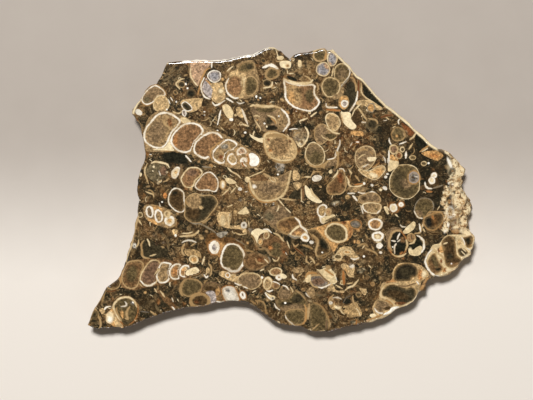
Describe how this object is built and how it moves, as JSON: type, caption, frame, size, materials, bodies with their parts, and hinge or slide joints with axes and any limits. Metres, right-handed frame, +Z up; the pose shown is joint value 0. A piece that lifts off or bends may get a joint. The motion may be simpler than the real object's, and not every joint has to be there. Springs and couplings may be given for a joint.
{
  "type": "turritella agate slab",
  "caption": "Polished slab of turritella agate, a dark silicified rock packed with fossil snail shells, with a rough weathered crust round its rim.",
  "frame": {"origin": "middle of the bounding box of the sawn underside that the slab lies on", "axes": "+X along the longest extent, from the pointed tail towards the thick crust; +Y across the polished face, away from its tail; +Z up, out of the polished face"},
  "size_m": [0.0902, 0.0662, 0.006],
  "materials": {
    "agate_slab": "polished"
  },
  "bodies": {
    "root": {"agate_slab": "agate_slab"}
  },
  "joints": []
}
